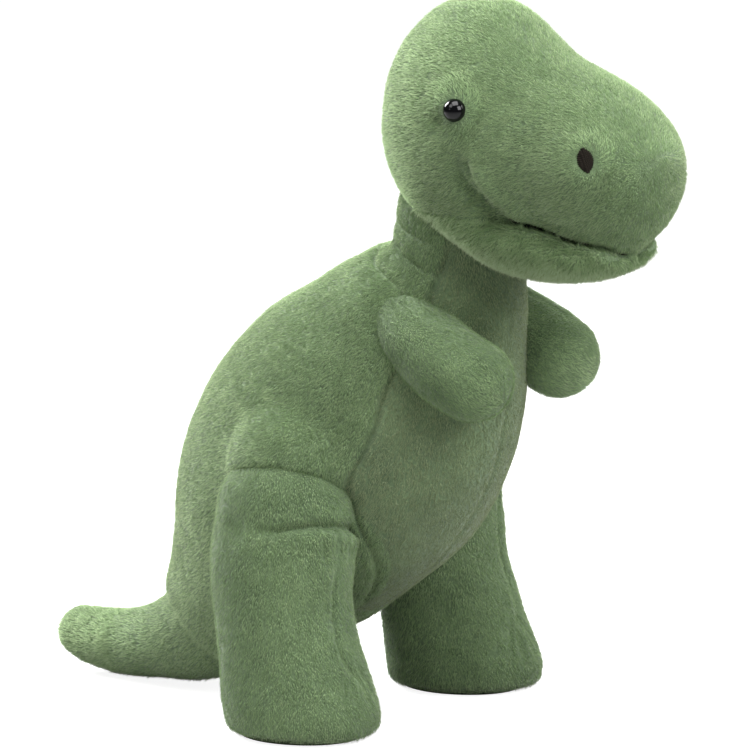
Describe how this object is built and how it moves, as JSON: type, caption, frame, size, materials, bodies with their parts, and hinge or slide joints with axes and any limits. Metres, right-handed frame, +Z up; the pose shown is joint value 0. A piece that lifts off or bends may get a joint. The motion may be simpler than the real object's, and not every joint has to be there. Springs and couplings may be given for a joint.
{
  "type": "stuffed dinosaur",
  "caption": "Upright stuffed two-legged dinosaur of short green pile, with sewn limbs, a long tail on the ground, domed eyes and a stitched mouth.",
  "frame": {"origin": "middle of the footprint, on the plane that the soles and tail rest on", "axes": "+Z up, the face looks along -Y, the toy's own left is +X"},
  "size_m": [0.164, 0.2718, 0.278],
  "materials": {
    "plush": "short brushed pile, matte with a soft sheen",
    "fibre_filling": "loose polyester fibre",
    "pellet_bag": "thin woven bag of pellets",
    "eye": "polished black",
    "washer": "plain moulded",
    "thread": "satin embroidery thread"
  },
  "bodies": {
    "torso": {"body_panel_left": "plush", "body_panel_right": "plush", "belly_panel": "plush", "body_filling": "fibre_filling", "body_pellet_bag": "pellet_bag"},
    "neck": {"neck_panel": "plush", "throat_panel": "plush", "neck_filling": "fibre_filling"},
    "head": {"head_side_left": "plush", "head_side_right": "plush", "head_gusset": "plush", "jaw_panel": "plush", "head_filling": "fibre_filling", "eye_left": "eye", "eye_right": "eye", "eye_washer_left": "washer", "eye_washer_right": "washer", "nostril_left": "thread", "nostril_right": "thread", "mouth_stitching": "thread"},
    "arm_left": {"arm_outer_left": "plush", "arm_inner_left": "plush", "arm_filling_left": "fibre_filling"},
    "arm_right": {"arm_outer_right": "plush", "arm_inner_right": "plush", "arm_filling_right": "fibre_filling"},
    "leg_left": {"leg_outer_left": "plush", "leg_inner_left": "plush", "sole_left": "plush", "leg_filling_left": "fibre_filling", "foot_pellet_bag_left": "pellet_bag"},
    "leg_right": {"leg_outer_right": "plush", "leg_inner_right": "plush", "sole_right": "plush", "leg_filling_right": "fibre_filling", "foot_pellet_bag_right": "pellet_bag"},
    "tail": {"tail_panel_left": "plush", "tail_panel_right": "plush", "tail_filling": "fibre_filling"},
    "tail_tip": {"tail_tip_skin": "plush", "tail_tip_filling": "fibre_filling"}
  },
  "joints": [
    {"name": "neck_nod", "type": "hinge", "parent": "torso", "child": "neck", "pos_m": [0, -0.043, 0.172], "axis": [1, 0, 0], "range_deg": [-10, 12], "stiffness_Nm_per_rad": 2},
    {"name": "head_turn", "type": "hinge", "parent": "neck", "child": "head", "pos_m": [0, -0.043, 0.191], "axis": [0, 0, 1], "range_deg": [-25, 25], "stiffness_Nm_per_rad": 1},
    {"name": "shoulder_left", "type": "hinge", "parent": "torso", "child": "arm_left", "pos_m": [0.04, -0.03, 0.161], "axis": [-0.8, 0, 0.6], "range_deg": [-3, 30], "stiffness_Nm_per_rad": 0.3},
    {"name": "shoulder_right", "type": "hinge", "parent": "torso", "child": "arm_right", "pos_m": [-0.04, -0.03, 0.161], "axis": [-0.8, 0, -0.6], "range_deg": [-3, 30], "stiffness_Nm_per_rad": 0.3},
    {"name": "hip_left", "type": "hinge", "parent": "torso", "child": "leg_left", "pos_m": [0.05, 0.002, 0.076], "axis": [-1, 0, 0], "range_deg": [-18, 18], "stiffness_Nm_per_rad": 6},
    {"name": "hip_right", "type": "hinge", "parent": "torso", "child": "leg_right", "pos_m": [-0.05, 0.002, 0.076], "axis": [-1, 0, 0], "range_deg": [-18, 18], "stiffness_Nm_per_rad": 6},
    {"name": "tail_swing", "type": "hinge", "parent": "torso", "child": "tail", "pos_m": [0, 0.062, 0.03], "axis": [0, 0, 1], "range_deg": [-18, 18], "stiffness_Nm_per_rad": 1},
    {"name": "tail_tip_curl", "type": "hinge", "parent": "tail", "child": "tail_tip", "pos_m": [0, 0.113, 0.0145], "axis": [1, 0, 0], "range_deg": [0, 30], "stiffness_Nm_per_rad": 0.3}
  ]
}
